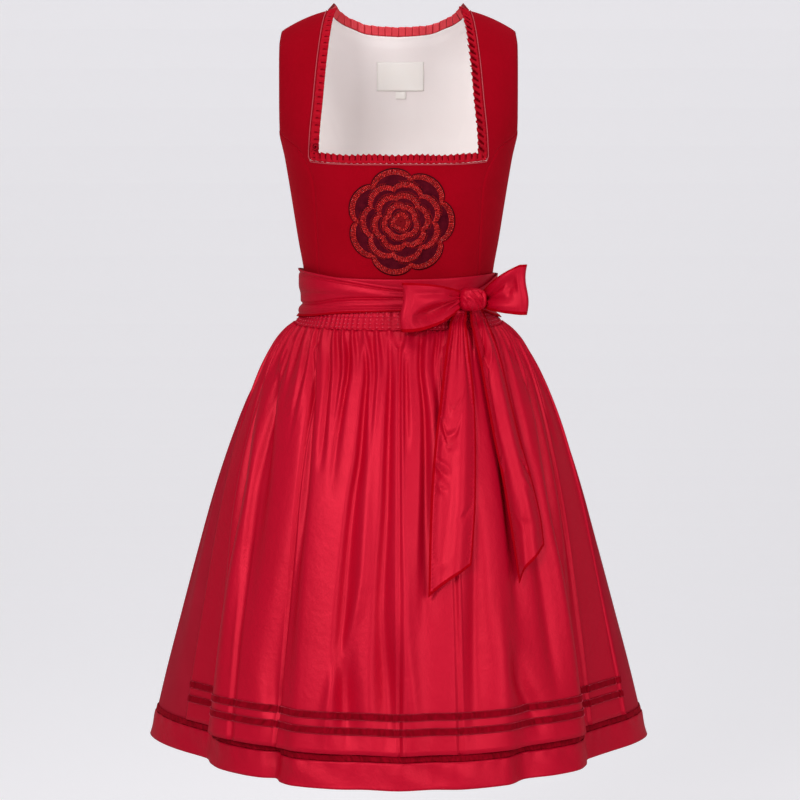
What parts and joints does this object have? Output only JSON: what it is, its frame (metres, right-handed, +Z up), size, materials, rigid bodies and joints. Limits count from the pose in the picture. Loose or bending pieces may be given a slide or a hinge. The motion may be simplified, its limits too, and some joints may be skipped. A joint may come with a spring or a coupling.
{
  "type": "dirndl",
  "caption": "Sleeveless dirndl dress, worn and filled out, with square ruffled neckline, gathered skirt and an apron whose ties end in a bow.",
  "frame": {"origin": "midway between the tops of the two shoulder straps, on the line of the shoulder seams, where the dress is held", "axes": "+Z up, -Y to the front, +X to the right of a front view"},
  "size_m": [0.6788, 0.5924, 0.9804],
  "materials": {
    "velvet": "deep red cotton velvet, dull face with a soft sheen at its edges",
    "satin": "crimson satin with a soft gloss",
    "skirt_cloth": "crimson twill, nearly matte",
    "ribbon": "dark red velvet ribbon with stitched edges",
    "piping": "rose red piping cord",
    "pleats": "coral red satin, pressed in box pleats",
    "flower": "stitched and beaded cloth patch in red and dark maroon",
    "lining": "off-white cotton lining",
    "label": "plain woven off-white tape"
  },
  "bodies": {
    "root": {"bodice_front": "velvet", "bodice_side_front_left": "velvet", "bodice_side_front_right": "velvet", "bodice_side_back_left": "velvet", "bodice_side_back_right": "velvet", "bodice_back_left": "velvet", "bodice_back_right": "velvet", "neck_ruffle_left": "velvet", "neck_ruffle_right": "velvet", "neck_ruffle_front": "velvet", "apron_panel": "satin", "apron_smocking": "satin", "apron_waistband": "satin", "tie_left": "satin", "tie_right": "satin", "bow_knot": "satin", "bow_loop_left": "satin", "bow_loop_right": "satin", "bow_tail_left": "satin", "bow_tail_right": "satin", "skirt_hem_band": "satin", "skirt_front": "skirt_cloth", "skirt_back": "skirt_cloth", "skirt_ribbon": "ribbon", "apron_ribbon_lower": "ribbon", "apron_ribbon_upper": "ribbon", "neck_piping": "piping", "neck_pleats_back": "pleats", "flower_applique": "flower", "lining_back": "lining", "label": "label", "size_tag": "label"}
  },
  "joints": []
}
